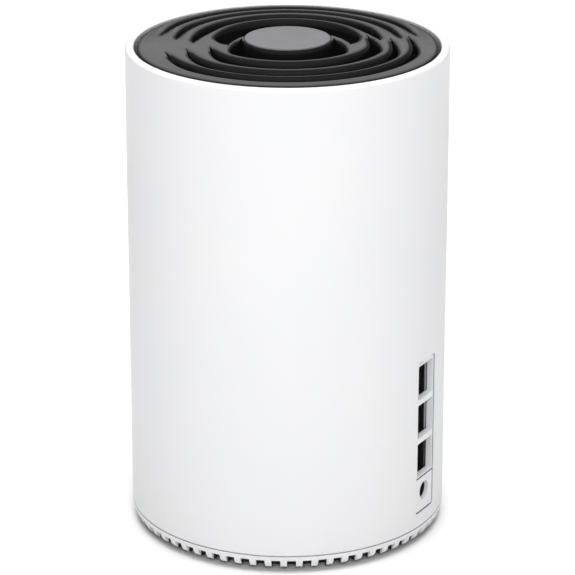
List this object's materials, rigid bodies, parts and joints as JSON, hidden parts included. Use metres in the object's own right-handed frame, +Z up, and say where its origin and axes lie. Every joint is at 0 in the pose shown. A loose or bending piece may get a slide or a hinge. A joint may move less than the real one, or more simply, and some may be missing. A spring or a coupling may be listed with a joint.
{
  "type": "mesh wifi node",
  "caption": "White cylindrical mesh wifi node with a domed black vent, stacked network sockets, a barrel power inlet, inner board, heat sinks and antennas, and a reset button.",
  "frame": {"origin": "centre of the rubber foot's underside, on the case's axis, where the node stands on a surface", "axes": "+Z up along the case's axis, +Y out of the network sockets at the back, -Y out of the status light at the front, +X to the right seen from the front"},
  "size_m": [0.107, 0.107, 0.169],
  "materials": {
    "case_white": "satin",
    "vent_black": "gloss",
    "plate_satin": "satin",
    "screen_black": "matte",
    "frame_grey": "matte",
    "foot_rubber": "matte",
    "label_film": "matte",
    "board_green": "satin",
    "jack_black": "satin",
    "jack_steel": "satin",
    "contact_gold": "bright",
    "pin_nickel": "bright",
    "chip_black": "matte",
    "inductor_grey": "matte",
    "capacitor_sleeve": "satin",
    "can_tin": "satin",
    "pad_blue": "matte",
    "sink_aluminium": "satin",
    "antenna_copper": "satin",
    "lead_black": "satin",
    "led_body": "gloss",
    "light_clear": "clear",
    "button_white": "satin",
    "plunger_red": "matte",
    "screw_steel": "satin"
  },
  "bodies": {
    "root": {"outer_shell": "case_white", "top_grille": "vent_black", "centre_plate": "plate_satin", "vent_plate": "screen_black", "chassis": "frame_grey", "base_cover": "case_white", "rubber_foot": "foot_rubber", "rating_label": "label_film", "main_board": "board_green", "network_jack_1": "jack_black", "network_jack_2": "jack_black", "network_jack_3": "jack_black", "jack_shield_1": "jack_steel", "jack_shield_2": "jack_steel", "jack_contacts_1": "contact_gold", "jack_contacts_2": "contact_gold", "jack_contacts_3": "contact_gold", "power_inlet": "jack_black", "power_inlet_pin": "pin_nickel", "network_transformers": "chip_black", "processor": "chip_black", "memory_chips": "chip_black", "flash_chip": "chip_black", "radio_chips": "chip_black", "switch_chip": "chip_black", "power_inductors": "inductor_grey", "capacitors": "capacitor_sleeve", "front_shield_can": "can_tin", "rear_shield_can": "can_tin", "thermal_pads": "pad_blue", "front_heat_sink": "sink_aluminium", "rear_heat_sink": "sink_aluminium", "antenna_1": "antenna_copper", "antenna_2": "antenna_copper", "antenna_3": "antenna_copper", "antenna_4": "antenna_copper", "coax_lead_1": "lead_black", "coax_lead_2": "lead_black", "coax_lead_3": "lead_black", "coax_lead_4": "lead_black", "coax_plugs": "contact_gold", "status_led": "led_body", "light_pipe": "light_clear", "reset_switch": "chip_black", "base_screws": "screw_steel", "board_screws": "screw_steel", "grille_screws": "screw_steel", "heat_sink_screws": "screw_steel"},
    "reset_button": {"reset_button": "button_white"},
    "reset_plunger": {"reset_plunger": "plunger_red"}
  },
  "joints": [
    {"name": "reset_press", "type": "slide", "parent": "root", "child": "reset_button", "axis": [0, 0, 1], "range_m": [0, 0.0005], "stiffness_N_per_m": 1000},
    {"name": "plunger_press", "type": "slide", "parent": "root", "child": "reset_plunger", "axis": [0, 0, 1], "range_m": [0, 0.0005]}
  ],
  "couplings": [
    {"joint": "plunger_press", "follows": "reset_press", "ratio": 1}
  ]
}
